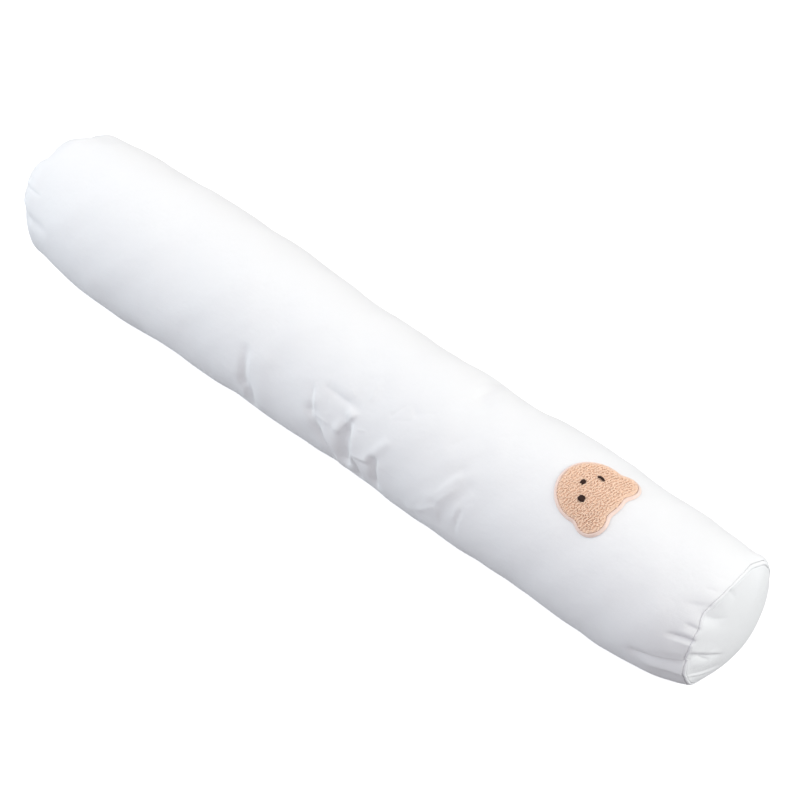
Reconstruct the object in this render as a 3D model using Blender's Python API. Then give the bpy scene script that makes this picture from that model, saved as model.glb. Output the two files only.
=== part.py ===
"""Baby bolster pillow.

A long tube of smooth white cotton, filled firm, with a round panel of the same cotton sewn into each
end and a terry bear's head sewn on near the right end. It lies along X, and its underside is pressed
flat where it rests. Angles around the tube are in degrees: 0 is the back (+Y), 90 the top and 180 the
front (-Y).
"""

import bisect
import math
from collections import namedtuple

import bmesh
import bpy
from mathutils import Vector

MM = 0.001

# Driving dimensions, in metres
HALF_LENGTH = 0.415         # from the middle to each end seam
TUBE_RADIUS = 0.075         # the filled tube, where nothing pinches it
AXIS_HEIGHT = 0.071         # less than the radius, because the filling settles flat on its underside
SEAM_REACH = 0.060          # how far in from an end seam its slack still shows
GAP = 0.0003                # clear space between two pieces
PANEL_THICKNESS = 0.002     # cotton with its turned seam allowance
PANEL_CROWN = 0.009         # how far the filling pushes the middle of an end panel out
WELT_WIDTH = 0.0035         # the raised edge of an end panel
WELT_RISE = 0.0007
WELT_FOOT = 0.0015          # the slope from the panel up to its welt
SKIN_CLEARANCE = 0.00045    # under the backing: GAP and the flatness of the facets

# The appliqué, in metres; across is around the tube, and up is along +X
HEAD_X = 0.2568
HEAD_ANGLE = 94.8
HEAD_HALF_WIDTH = 0.0316
HEAD_HALF_HEIGHT = 0.0308
EAR_ACROSS = 0.0220
EAR_UP = 0.0190
EAR_RADIUS = 0.0136
CORNER_FILL = 0.0035        # how far off a corner between the oval and an ear its soft fill begins
BORDER_WIDTH = 0.0034
BACKING_THICKNESS = 0.0012
PILE_THICKNESS = 0.0022
STITCH_THICKNESS = 0.0010
Feature = namedtuple("Feature", "name across up half_width half_height")
FEATURES = (
    Feature("patch_eye_left", -0.0135, -0.0006, 0.0013, 0.0042),
    Feature("patch_eye_right", 0.0130, -0.0002, 0.0029, 0.0040),
    Feature("patch_nose", -0.0002, -0.0106, 0.0025, 0.0026),
)

# How finely the shapes are divided
FRONT_SECTOR = (96.0, 216.0)
FRONT_STEPS = 22
REAR_STEPS = 24
HEAD_SPOKES = 60
HEAD_RINGS = (0.28, 0.55, 0.80, 1.0)
STITCH_SPOKES = 14
STITCH_RINGS = (0.65, 1.0)
END_RINGS = (0.5, 0.9, 1.0)     # from the middle of an end to its seam
CREASE_ANGLE = 50.0             # edges sharper than this aren't shaded smooth
REACH_PRECISION = 1e-9          # how closely the head's outline is found, in metres

# Cross sections of the filled tube: place along X, radius and sideways drift of its middle, in mm
Section = namedtuple("Section", "x radius sway")
SECTIONS = (
    Section(-415, 59.3, 1.0),
    Section(-405, 65.3, 1.0),
    Section(-393, 67.6, 1.0),
    Section(-372, 70.6, 0.5),
    Section(-345, 73.2, -0.3),
    Section(-306, 75.0, -0.5),
    Section(-200, 75.0, 1.5),
    Section(-154, 75.2, 1.5),
    Section(-108, 73.4, 0.0),
    Section(-45, 72.0, -1.4),
    Section(18, 72.2, -1.6),
    Section(68, 74.4, -1.6),
    Section(126, 74.2, -3.0),
    Section(172, 75.6, 0.0),
    Section(222, 76.6, 0.0),
    Section(280, 76.0, -2.0),
    Section(338, 75.0, -2.2),
    Section(376, 72.8, -1.0),
    Section(402, 68.0, 1.5),
    Section(415, 64.0, 2.0),
)

# Runs of rings along X: where a run starts and ends, in mm, and its number of steps
RingRun = namedtuple("RingRun", "start end steps")
RING_RUNS = (
    RingRun(-415, -355, 6),
    RingRun(-355, -140, 12),
    RingRun(-140, 180, 46),
    RingRun(180, 360, 10),
    RingRun(360, 415, 6),
)

# The slack of each end seam: angle, and how far the seam stands out (+) or is drawn in (-), in mm
SeamRow = namedtuple("SeamRow", "angle pull")
RIGHT_SEAM = (
    SeamRow(0, -7), SeamRow(34, -4.5), SeamRow(44, -4.5), SeamRow(51, -5.6), SeamRow(58, -5.4), SeamRow(71, -2),
    SeamRow(81, -0.3), SeamRow(90, 1), SeamRow(98, 0.9), SeamRow(109, 0.4), SeamRow(115, -1), SeamRow(124, -3.2),
    SeamRow(129, -2.9), SeamRow(135, -0.9), SeamRow(142, -0.1), SeamRow(153, -0.5), SeamRow(160, -0.9),
    SeamRow(166, -2), SeamRow(172, -3.3), SeamRow(178, -2.4), SeamRow(185, -1.7),
    SeamRow(204, -1.5), SeamRow(213, -3), SeamRow(245, -10), SeamRow(270, -10), SeamRow(300, -6),
    SeamRow(330, -6),
)
LEFT_SEAM = (
    SeamRow(0, -3), SeamRow(33, -2), SeamRow(60, -9), SeamRow(76, -2), SeamRow(90, 0), SeamRow(107, 0),
    SeamRow(120, 5), SeamRow(134, 5), SeamRow(156, 1), SeamRow(177, -5), SeamRow(200, -6), SeamRow(250, -3),
    SeamRow(300, -2),
)

# Main folds of the tube: the two ends of each line on the skin (mm along X, degrees around), its half
# width and its depth in mm. A trough has a depth above zero, and a ridge has one below it.
Fold = namedtuple("Fold", "start_x start_angle end_x end_angle half_width depth")
FOLDS = (
    Fold(12, 152, 14, 190, 7, 4.6),
    Fold(3, 163, 13, 145, 5, -1.6),
    Fold(43, 170, 59, 149, 5, -1.2),
    Fold(51, 168, 54, 192, 5, 2.8),
    Fold(-28, 162, -2, 190, 7, 2.4),
    Fold(-20, 137, 14, 139, 5, 0.8),
    Fold(-116, 152, -107, 192, 7, 1.6),
    Fold(-94, 150, -90, 190, 12, -1.4),
    Fold(98, 190, 140, 140, 6, -1.2),
    Fold(134, 180, 156, 142, 8, 1.4),
    Fold(92, 40, 108, 78, 9, 2.2),
    Fold(128, 24, 158, 44, 15, 2.0),
    Fold(-246, 206, -210, 218, 16, 1.8),
    Fold(-96, 28, -52, 30, 8, 1.6),
    Fold(10, 222, 20, 250, 12, 3.0),
    Fold(-20, -30, 12, 18, 12, 2.6),
    Fold(366, 181, 412, 171, 5, 1.4),
    Fold(404, 22, 408, 40, 11, -4.4),
    Fold(-384, 165, -408, 168, 7, 1.6),
)


def clear_scene():
    for obj in list(bpy.data.objects):
        bpy.data.objects.remove(obj, do_unlink=True)


def curve_through(places, values, place):
    """Reads a smooth curve through a table's rows, with no step in its slope."""
    row = min(max(bisect.bisect_right(places, place) - 1, 0), len(places) - 2)
    span = places[row + 1] - places[row]

    def slope(index):
        low = max(index - 1, 0)
        high = min(index + 1, len(places) - 1)
        return (values[high] - values[low]) / (places[high] - places[low])

    t = min(max((place - places[row]) / span, 0.0), 1.0)
    rise = values[row + 1] - values[row]
    bend_low = slope(row) * span - rise
    bend_high = rise - slope(row + 1) * span
    return values[row] + rise * t + t * (1 - t) * ((1 - t) * bend_low + t * bend_high)


SECTION_PLACES = [row.x * MM for row in SECTIONS]
SECTION_RADII = [row.radius * MM for row in SECTIONS]
SECTION_SWAYS = [row.sway * MM for row in SECTIONS]


def seam_pull(side, angle):
    """How far the end seam stands out at an angle, read around the closed table of its end."""
    rows = RIGHT_SEAM if side > 0 else LEFT_SEAM
    angles = [row.angle for row in rows]
    pulls = [row.pull * MM for row in rows]
    around = angle % 360.0
    return curve_through(angles + [360.0], pulls + [pulls[0]], around)


def seam_share(station):
    """From 0 away from the ends to 1 at an end seam."""
    t = min(max((abs(station) - HALF_LENGTH + SEAM_REACH) / SEAM_REACH, 0.0), 1.0)
    return t * t * (3 - 2 * t)


def fold_depth(x, angle):
    """The depth of all the folds at a place on the skin."""
    arc_per_degree = math.radians(TUBE_RADIUS)
    total = 0.0
    for fold in FOLDS:
        start = Vector((fold.start_x * MM, fold.start_angle * arc_per_degree))
        line = Vector((fold.end_x * MM, fold.end_angle * arc_per_degree)) - start
        turns = round(((fold.start_angle + fold.end_angle) / 2 - angle) / 360.0)
        place = Vector((x, (angle + turns * 360.0) * arc_per_degree)) - start
        along = min(max(place.dot(line) / line.length_squared, 0.0), 1.0)
        distance = (place - line * along).length
        total += fold.depth * MM * math.exp(-((distance / (fold.half_width * MM)) ** 2))
    return total


def skin_point(station, angle, lift=0.0):
    """A point on the tube's skin, or at a lift over it. The underside lies flat on the ground."""
    outward = math.copysign(1.0, station)
    x = station + outward * seam_pull(outward, angle) * seam_share(station)
    radius = curve_through(SECTION_PLACES, SECTION_RADII, station) - fold_depth(x, angle) + lift
    sway = curve_through(SECTION_PLACES, SECTION_SWAYS, station)
    y = sway + radius * math.cos(math.radians(angle))
    z = AXIS_HEIGHT + radius * math.sin(math.radians(angle))
    return Vector((x, y, max(z, 0.0)))


def end_point(side, angle, share, inset):
    """A point in an end: share is 0 at its middle and 1 at the seam, and inset is measured inward."""
    rim = skin_point(side * HALF_LENGTH, angle)
    sway = SECTION_SWAYS[-1] if side > 0 else SECTION_SWAYS[0]
    point = Vector((0.0, sway, AXIS_HEIGHT)).lerp(rim, share)
    slack = rim.x - side * HALF_LENGTH
    crown = PANEL_CROWN * (1 - share * share)
    point.x = side * (HALF_LENGTH + crown - inset) + slack * share ** 4
    return point


def skin_angles():
    """The angles of the skin's lengthwise lines, closer together on the front."""
    start, end = FRONT_SECTOR
    front = [start + (end - start) * step / FRONT_STEPS for step in range(FRONT_STEPS)]
    rear_arc = 360.0 - (end - start)
    rear = [end + rear_arc * step / REAR_STEPS for step in range(REAR_STEPS)]
    return front + rear


def ring_stations():
    """The places of the skin's rings along X."""
    stations = []
    for run in RING_RUNS:
        length = run.end - run.start
        stations += [(run.start + length * step / run.steps) * MM for step in range(run.steps)]
    return stations + [RING_RUNS[-1].end * MM]


def body_from_rings(name, first_point, rings, last_point, material):
    """A closed body: a point, a row of rings that each have the same number of points, and a point."""
    shape = bmesh.new()
    first = shape.verts.new(first_point)
    rows = [[shape.verts.new(point) for point in ring] for ring in rings]
    last = shape.verts.new(last_point)
    count = len(rows[0])
    for index in range(count):
        after = (index + 1) % count
        shape.faces.new((first, rows[0][index], rows[0][after]))
        for row, next_row in zip(rows, rows[1:]):
            shape.faces.new((row[index], next_row[index], next_row[after], row[after]))
        shape.faces.new((last, rows[-1][after], rows[-1][index]))
    bmesh.ops.triangulate(shape, faces=[face for face in shape.faces if len(face.verts) > 3])
    bmesh.ops.recalc_face_normals(shape, faces=shape.faces)
    mesh = bpy.data.meshes.new(name)
    shape.to_mesh(mesh)
    shape.free()
    mesh.shade_smooth()
    mesh.set_sharp_from_angle(angle=math.radians(CREASE_ANGLE))
    mesh.materials.append(material)
    obj = bpy.data.objects.new(name, mesh)
    bpy.context.scene.collection.objects.link(obj)
    return obj


def cloth_material(name, colour, roughness):
    material = bpy.data.materials.new(name)
    material.use_nodes = True
    shader = material.node_tree.nodes["Principled BSDF"]
    shader.inputs["Base Color"].default_value = (*colour, 1.0)
    shader.inputs["Roughness"].default_value = roughness
    shader.inputs["Metallic"].default_value = 0.0
    return material


def make_tube(material):
    """The filled tube: its skin from seam to seam, and the two ends that the panels cover."""
    angles = skin_angles()
    inset = PANEL_THICKNESS + GAP
    skin = [[skin_point(station, angle) for angle in angles] for station in ring_stations()]
    left_end = [[end_point(-1, angle, share, inset) for angle in angles] for share in END_RINGS]
    right_end = [[end_point(1, angle, share, inset) for angle in angles] for share in reversed(END_RINGS)]
    left = end_point(-1, 0.0, 0.0, inset)
    right = end_point(1, 0.0, 0.0, inset)
    return body_from_rings("bolster_tube", left, left_end + skin[1:-1] + right_end, right, material)


def make_end_panel(name, side, material):
    """A round panel, crowned by the filling, whose sewn edge stands up as a narrow welt."""
    angles = skin_angles()

    def ring(share, inset):
        return [end_point(side, angle, share, inset) for angle in angles]

    def short_of_seam(distance):
        return 1.0 - distance / TUBE_RADIUS

    rings = [
        ring(END_RINGS[0], 0.0),
        ring(short_of_seam(WELT_WIDTH + WELT_FOOT), 0.0),
        ring(short_of_seam(WELT_WIDTH), -WELT_RISE),
        ring(short_of_seam(WELT_RISE), -WELT_RISE),
        ring(1.0, 0.0),
    ]
    rings += [ring(share, PANEL_THICKNESS) for share in reversed(END_RINGS)]
    outer = end_point(side, 0.0, 0.0, 0.0)
    inner = end_point(side, 0.0, 0.0, PANEL_THICKNESS)
    return body_from_rings(name, outer, rings, inner, material)


def ellipse_reach(direction, half_width, half_height):
    """The distance from an ellipse's middle to its edge in a direction."""
    across = math.cos(direction) / half_width
    up = math.sin(direction) / half_height
    return 1.0 / math.hypot(across, up)


def head_distance(across, up):
    """How far a place is outside the head's outline, whose corners at the ears are softly filled."""
    outside = math.hypot(across, up)
    outside -= ellipse_reach(math.atan2(up, across), HEAD_HALF_WIDTH, HEAD_HALF_HEIGHT)
    for side in (-1, 1):
        off_ear = math.hypot(across - side * EAR_ACROSS, up - EAR_UP) - EAR_RADIUS
        fill = max(CORNER_FILL - abs(outside - off_ear), 0.0)
        outside = min(outside, off_ear) - fill * fill / (4 * CORNER_FILL)
    return outside


def head_reach(direction, grow):
    """The distance from the head's middle to its outline, grown by a width, halved in on."""
    low = 0.0
    high = 2 * (EAR_ACROSS + EAR_UP)
    while high - low > REACH_PRECISION:
        middle = (low + high) / 2
        if head_distance(math.cos(direction) * middle, math.sin(direction) * middle) < grow:
            low = middle
        else:
            high = middle
    return low


def make_sewn_piece(name, middle, reaches, ring_shares, low, high, material):
    """A flat piece that lies on the tube, from a low to a high lift, with its outline around a middle.

    middle is (across, up) from the head's own middle, and reaches are the outline's distances from it.
    """
    spokes = len(reaches)

    def lay(across, up, lift):
        angle = HEAD_ANGLE + math.degrees(across / TUBE_RADIUS)
        return skin_point(HEAD_X + up, angle, lift)

    def ring(share, lift):
        points = []
        for spoke, reach in enumerate(reaches):
            direction = math.tau * spoke / spokes
            across = middle[0] + math.cos(direction) * reach * share
            up = middle[1] + math.sin(direction) * reach * share
            points.append(lay(across, up, lift))
        return points

    shares = list(ring_shares)
    rings = [ring(share, high) for share in shares] + [ring(share, low) for share in reversed(shares)]
    return body_from_rings(name, lay(*middle, high), rings, lay(*middle, low), material)


def make_applique(backing_felt, terry, dark_thread):
    """A plain bear's head: felt backing with its border, terry pile, two eyes and a nose."""
    directions = [math.tau * spoke / HEAD_SPOKES for spoke in range(HEAD_SPOKES)]
    backing_top = SKIN_CLEARANCE + BACKING_THICKNESS
    pile_low = backing_top + GAP
    pile_top = pile_low + PILE_THICKNESS
    thread_low = pile_top + GAP
    thread_top = thread_low + STITCH_THICKNESS
    backing = make_sewn_piece(
        "patch_backing", (0.0, 0.0), [head_reach(direction, BORDER_WIDTH) for direction in directions],
        HEAD_RINGS, SKIN_CLEARANCE, backing_top, backing_felt)
    pile = make_sewn_piece(
        "patch_pile", (0.0, 0.0), [head_reach(direction, 0.0) for direction in directions],
        HEAD_RINGS, pile_low, pile_top, terry)
    pieces = [backing, pile]
    steps = [math.tau * spoke / STITCH_SPOKES for spoke in range(STITCH_SPOKES)]
    for feature in FEATURES:
        pieces.append(make_sewn_piece(
            feature.name, (feature.across, feature.up),
            [ellipse_reach(step, feature.half_width, feature.half_height) for step in steps],
            STITCH_RINGS, thread_low, thread_top, dark_thread))
    return pieces


def centre_on_box(pieces):
    """Moves all the pieces so that the middle of their common box is over the origin."""
    corners = [vertex.co for piece in pieces for vertex in piece.data.vertices]
    for axis in (0, 1):
        low = min(corner[axis] for corner in corners)
        high = max(corner[axis] for corner in corners)
        for piece in pieces:
            piece.location[axis] = -(low + high) / 2


def main():
    clear_scene()
    cotton = cloth_material("white_cotton", (0.90, 0.90, 0.91), 0.75)
    felt = cloth_material("blush_felt", (0.85, 0.68, 0.60), 0.9)
    terry = cloth_material("peach_terry", (0.72, 0.45, 0.31), 0.95)
    thread = cloth_material("dark_thread", (0.035, 0.022, 0.020), 0.6)
    pieces = [
        make_tube(cotton),
        make_end_panel("end_panel_right", 1, cotton),
        make_end_panel("end_panel_left", -1, cotton),
    ]
    pieces += make_applique(felt, terry, thread)
    centre_on_box(pieces)


main()
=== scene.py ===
"""The looks of a baby bolster pillow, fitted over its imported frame.

Every shape is in metres and in the frame's own place. Angles around the tube are in degrees: 0 is the
back (+Y), 90 the top and 180 the front (-Y). The skin of the filled tube is read from the same tables
as its solid, with the finer creases added, and the sewn pieces are laid on that skin.
"""

import math
from collections import namedtuple

import bpy
import numpy as np
from bpy.props import FloatProperty, FloatVectorProperty, IntProperty, PointerProperty
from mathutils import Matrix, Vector


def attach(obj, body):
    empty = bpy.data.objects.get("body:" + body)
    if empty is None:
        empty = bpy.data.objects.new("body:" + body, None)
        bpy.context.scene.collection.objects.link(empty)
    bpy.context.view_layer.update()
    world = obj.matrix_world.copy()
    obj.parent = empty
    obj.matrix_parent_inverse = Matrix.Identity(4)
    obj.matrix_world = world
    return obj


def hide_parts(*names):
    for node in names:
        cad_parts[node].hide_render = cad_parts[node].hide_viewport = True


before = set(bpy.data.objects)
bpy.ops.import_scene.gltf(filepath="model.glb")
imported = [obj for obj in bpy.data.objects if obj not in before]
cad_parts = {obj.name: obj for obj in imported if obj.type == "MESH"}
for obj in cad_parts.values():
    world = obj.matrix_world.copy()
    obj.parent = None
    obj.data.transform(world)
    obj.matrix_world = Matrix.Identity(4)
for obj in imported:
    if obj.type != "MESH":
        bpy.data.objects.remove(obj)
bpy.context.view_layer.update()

bl_info = {
    "name": "Baby bolster pillow",
    "version": (1, 0, 0),
    "blender": (4, 5, 0),
    "location": "View3D > Sidebar > Bolster",
    "description": "Dresses the packed bolster in cotton, felt, terry and thread",
    "category": "Object",
}

MM = 0.001

# The part's driving dimensions, in metres
HALF_LENGTH = 0.415         # from the middle to each end seam
TUBE_RADIUS = 0.075
AXIS_HEIGHT = 0.071         # of the tube's middle line over the ground
SEAM_REACH = 0.060          # how far in from an end seam its slack still shows
GAP = 0.0003                # between two pieces
PANEL_THICKNESS = 0.002
PANEL_CROWN = 0.009         # how far the filling pushes a panel out in its middle
HEAD_X = 0.2568             # of the head's middle along the tube
HEAD_ANGLE = 94.8           # and around it, in degrees
HEAD_HALF_WIDTH = 0.0316
HEAD_HALF_HEIGHT = 0.0308
EAR_ACROSS = 0.0220
EAR_UP = 0.0190
EAR_RADIUS = 0.0136
CORNER_FILL = 0.0035        # how far off a corner between the oval and an ear its soft fill begins
PAPER_GAP = 0.0005          # between the two sheets of the floor
PILE_FOOT = 0.0020          # the lift of the terry's ground over the skin
PILE_TOP = 0.0042           # the lift of its loops
PILE_SLOPE = 0.004          # how far in from its edge the pile is lower
ROW_SLANT = math.radians(-12.7)     # of the rows of loops
SETTLED_EDGE = 0.0010       # how softly the tube's side turns into its flat underside
CREASE_SOFTNESS = 0.25      # how round the bottom of a crease is, as a share of its width
CREASE_FULLNESS = 1.5       # above 1, a crease keeps its full depth for a while around its peak

Feature = namedtuple("Feature", "name node across up half_width half_height")
FEATURES = (
    Feature("stitched_eye_left", "patch_eye_left", -0.0135, -0.0006, 0.0013, 0.0042),
    Feature("stitched_eye_right", "patch_eye_right", 0.0130, -0.0002, 0.0029, 0.0040),
    Feature("stitched_nose", "patch_nose", -0.0002, -0.0106, 0.0025, 0.0026),
)

# Cross sections of the filled tube: place along X, radius and sideways drift of its middle, in mm
Section = namedtuple("Section", "x radius sway")
SECTIONS = (
    Section(-415, 59.3, 1.0),
    Section(-405, 65.3, 1.0),
    Section(-393, 67.6, 1.0),
    Section(-372, 70.6, 0.5),
    Section(-345, 73.2, -0.3),
    Section(-306, 75.0, -0.5),
    Section(-200, 75.0, 1.5),
    Section(-154, 75.2, 1.5),
    Section(-108, 73.4, 0.0),
    Section(-45, 72.0, -1.4),
    Section(18, 72.2, -1.6),
    Section(68, 74.4, -1.6),
    Section(126, 74.2, -3.0),
    Section(172, 75.6, 0.0),
    Section(222, 76.6, 0.0),
    Section(280, 76.0, -2.0),
    Section(338, 75.0, -2.2),
    Section(376, 72.8, -1.0),
    Section(402, 68.0, 1.5),
    Section(415, 64.0, 2.0),
)

# The slack of each end seam: angle, and how far the seam stands out (+) or is drawn in (-), in mm
SeamRow = namedtuple("SeamRow", "angle pull")
RIGHT_SEAM = (
    SeamRow(0, -7), SeamRow(34, -4.5), SeamRow(44, -4.5), SeamRow(51, -5.6), SeamRow(58, -5.4),
    SeamRow(71, -2), SeamRow(81, -0.3), SeamRow(90, 1), SeamRow(98, 0.9), SeamRow(109, 0.4),
    SeamRow(115, -1), SeamRow(124, -3.2), SeamRow(129, -2.9), SeamRow(135, -0.9), SeamRow(142, -0.1),
    SeamRow(153, -0.5), SeamRow(160, -0.9), SeamRow(166, -2), SeamRow(172, -3.3), SeamRow(178, -2.4),
    SeamRow(185, -1.7), SeamRow(204, -1.5), SeamRow(213, -3), SeamRow(245, -10), SeamRow(270, -10),
    SeamRow(300, -6), SeamRow(330, -6), SeamRow(360, -7),
)
LEFT_SEAM = (
    SeamRow(0, -3), SeamRow(33, -2), SeamRow(60, -9), SeamRow(76, -2), SeamRow(90, 0),
    SeamRow(107, 0), SeamRow(120, 5), SeamRow(134, 5), SeamRow(156, 1), SeamRow(177, -5),
    SeamRow(200, -6), SeamRow(250, -3), SeamRow(300, -2), SeamRow(360, -3),
)

# Main folds of the solid: the two ends of each line on the skin (mm along X, degrees around), its half
# width and its depth in mm. A trough has a depth above zero, and a ridge has one below it.
Fold = namedtuple("Fold", "start_x start_angle end_x end_angle half_width depth")
FOLDS = (
    Fold(12, 152, 14, 190, 7, 4.6),
    Fold(3, 163, 13, 145, 5, -1.6),
    Fold(43, 170, 59, 149, 5, -1.2),
    Fold(51, 168, 54, 192, 5, 2.8),
    Fold(-28, 162, -2, 190, 7, 2.4),
    Fold(-20, 137, 14, 139, 5, 0.8),
    Fold(-116, 152, -107, 192, 7, 1.6),
    Fold(-94, 150, -90, 190, 12, -1.4),
    Fold(98, 190, 140, 140, 6, -1.2),
    Fold(134, 180, 156, 142, 8, 1.4),
    Fold(92, 40, 108, 78, 9, 2.2),
    Fold(128, 24, 158, 44, 15, 2.0),
    Fold(-246, 206, -210, 218, 16, 1.8),
    Fold(-96, 28, -52, 30, 8, 1.6),
    Fold(10, 222, 20, 250, 12, 3.0),
    Fold(-20, -30, 12, 18, 12, 2.6),
    Fold(366, 181, 412, 171, 5, 1.4),
    Fold(404, 22, 408, 40, 11, -4.4),
    Fold(-384, 165, -408, 168, 7, 1.6),
)

# Fine creases of the cloth. A line runs between two places and bows to its right hand in its middle, for
# one who walks along it. Left and right are how far it reaches on each hand. It is deepest at its peak,
# from 0 at its start to 1 at its end, and a ridge has a depth below 0. All but the angles is in mm.
Crease = namedtuple("Crease", "start_x start_angle end_x end_angle bow left right depth peak")
CREASES = (
    Crease(-117, 144, -111.5, 188, -1.5, 3, 3, 1.5, 0.6),
    Crease(-124, 148, -119, 188, -1, 4, 7, -0.5, 0.6),
    Crease(-111, 143, -105, 174, -1, 4, 4, -0.7, 0.6),
    Crease(-104, 172, -104, 207, -2, 1.4, 5, 3.2, 0.6),
    Crease(-110, 177, -116, 202, 0, 3, 3, -1.2, 0.5),
    Crease(-151, 164, -149, 190, 0, 2.5, 2.5, -0.35, 0.5),
    Crease(-142, 168, -142, 194, 0, 2.5, 2.5, -0.35, 0.5),
    Crease(-133, 169, -131, 188, 0, 2.5, 2.5, -0.35, 0.5),
    Crease(-37, 138, -28, 170, -1, 1.9, 4.5, 1.3, 0.5),
    Crease(-32, 141, -24, 170, -1, 3, 2, -0.7, 0.6),
    Crease(-26, 167, 9, 213, -3, 1.2, 9, 4.6, 0.5),
    Crease(-22, 164, 13, 209, -3, 6, 3, -2.4, 0.5),
    Crease(-28, 164, -4, 163, -1, 3, 3.5, -0.9, 0.5),
    Crease(-19, 140, -11, 158, 0, 3, 3, 0.4, 0.5),
    Crease(-28, 138, 14, 139, 0, 3, 7, 1.4, 0.6),
    Crease(0, 129, 11, 133, 0, 2, 1, -0.35, 0.5),
    Crease(11, 110, 14, 125, 0, 2.5, 3.5, 0.35, 0.5),
    Crease(25, 131, 21, 109, 0, 2.5, 2.5, -0.5, 0.4),
    Crease(22, 139, 4, 169, 2, 2.5, 4, -2.4, 0.6),
    Crease(15, 151, 14, 204, -4, 1.6, 9, 3, 0.3),
    Crease(18.5, 147, 17, 200, -4.5, 7, 1.2, -1.5, 0.5),
    Crease(25, 177, 31, 208, -3, 1.2, 5, 6.4, 0.6),
    Crease(23, 176, 49, 171, 0, 4, 1.2, -1.2, 0.4),
    Crease(27, 178, 49, 176, 0, 1, 3, 0.5, 0.5),
    Crease(24, 153, 36, 149, 0, 1.2, 1.2, -0.35, 0.4),
    Crease(53, 162, 55, 208, 1.5, 1.6, 5, 2.4, 0.35),
    Crease(56, 163, 58, 202, 1.5, 5, 1.2, -0.9, 0.3),
    Crease(50, 133, 80, 121, 0, 2, 3, 0.3, 0.3),
    Crease(50, 132, 60, 115, 0, 3, 2, 0.6, 0.35),
    Crease(64, 113, 76, 122, 0, 2, 2, 0.4, 0.5),
    Crease(66, 121, 92, 107, 0, 2, 3, 0.3, 0.4),
    Crease(90, 76, 92, 48, 0, 3, 3, 0.6, 0.6),
    Crease(105, 84, 104, 58, 0, 3, 3, 0.7, 0.6),
    Crease(116, 91, 117, 55, 0, 3.2, 3.2, 0.7, 0.6),
    Crease(115, 128, 128, 109, 0, 3, 3, 0.45, 0.45),
    Crease(148, 102, 170, 86, 0, 3.2, 3.2, 0.35, 0.5),
    Crease(122, 152, 159, 105, 2, 7, 7, 0.6, 0.4),
    Crease(116, 168, 147, 125, 0, 5, 5, 1.3, 0.5),
    Crease(96, 191, 121, 162, 0, 4, 5, 1, 0.5),
    Crease(126, 169, 148, 143, 0, 5, 3, -1.2, 0.4),
    Crease(104, 188, 131, 166, 0, 2.4, 3.4, -1.2, 0.5),
    Crease(130, 164, 134, 188, 1, 3, 3, -0.7, 0.4),
    Crease(159, 154, 153, 190, 1.5, 1.8, 4.5, 1.2, 0.5),
    Crease(153, 154, 150, 175, 0, 2, 4, -0.9, 0.5),
    Crease(156, 157, 168, 146, 0, 2, 2, 0.35, 0.5),
    Crease(400, 140, 422, 138, 0, 1.6, 4, 1.8, 0.5),
    Crease(388, 153, 421, 150, -1, 1.7, 5.5, 3.2, 0.55),
    Crease(386, 157, 430, 155, -1, 3, 4, -1.2, 0.6),
    Crease(396, 147, 424, 144, 0, 4, 4, -0.8, 0.6),
    Crease(357, 181.5, 438, 165, 5, 1.4, 10, 4.6, 0.6),
    Crease(370, 177, 424, 167, 4, 4, 1.2, -1.2, 0.6),
    Crease(368, 189, 424, 187, 0, 11, 5, -3, 0.6),
    Crease(390, 127, 422, 115, 0, 1.8, 7, 0.9, 0.65),
    Crease(396, 110, 420, 102, 0, 2.5, 3.5, 0.8, 0.7),
    Crease(391, 99, 420, 88, 0, 3, 3.5, 0.4, 0.75),
    Crease(409, 121, 415, 139, 1, 1, 1.2, 0.8, 0.5),
    Crease(415, 136, 413, 164, 0.5, 1.2, 1, 0.9, 0.5),
    Crease(413.5, 158, 410.5, 178, 0.5, 1.2, 1, 1.2, 0.5),
    Crease(-390, 141, -423, 142, 0, 4, 1.5, 1.2, 0.75),
    Crease(-391, 168, -421, 161, 0, 4, 1.5, 1.2, 0.75),
    Crease(-412, 96, -417.5, 122, 1, 1, 1.4, 1.5, 0.5),
    Crease(-417, 119, -416, 141, 0.5, 1, 1.4, 1.7, 0.5),
    Crease(-416, 138, -411.5, 160, 0.5, 1, 1.4, 1.6, 0.5),
    Crease(-412, 157, -405, 186, 0.5, 1, 1.4, 1.6, 0.5),
)

# Creases of the end panels, by their places across (Y) and down from the panel's middle
DiscCrease = namedtuple("DiscCrease", "start_y start_down end_y end_down bow left right depth peak")
RIGHT_PANEL_CREASES = (
    DiscCrease(-64, -22, -13, 17, 0.5, 0.9, 5, 2.4, 0.45),
    DiscCrease(-60, -24, -18, 8, 0.5, 3.5, 2.5, -0.8, 0.4),
    DiscCrease(-48, -8, -31, 11, 0.8, 1, 3, 1.1, 0.35),
    DiscCrease(-64, 9, -6, 38, 1.5, 8, 1.4, 1.5, 0.4),
    DiscCrease(-60, 15, -18, 39, 2, 1, 2.5, 1.1, 0.35),
    DiscCrease(-59, 6, -38, 14, 0, 1.5, 2, 0.3, 0.4),
    DiscCrease(-39, -54, -9, -31, 3, 3.5, 5, 1.1, 0.4),
    DiscCrease(-7, -65, 2, -44, 0, 2.5, 3, 1, 0.3),
)
LEFT_PANEL_CREASES = (
    DiscCrease(-52, -20, -22, -4, 2, 3, 2, 1, 0.3),
    DiscCrease(40, -38, 22, -20, 2, 3, 4, 0.9, 0.3),
    DiscCrease(50, 20, 24, 12, 1, 2, 3.5, 0.8, 0.3),
)

# The ripples where the cloth is gathered into an end seam
PUCKER_HEIGHT = 0.00022
PUCKER_REACH = 0.005        # how far from the seam they still show
PUCKER_WAVES = (29, 13)     # two counts around the seam, whose product is uneven
PUCKER_PHASES = (1.3, 0.4)
RIM_SHARE = 0.85            # of an end's radius, past which the tube's creases show in its panel

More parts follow.
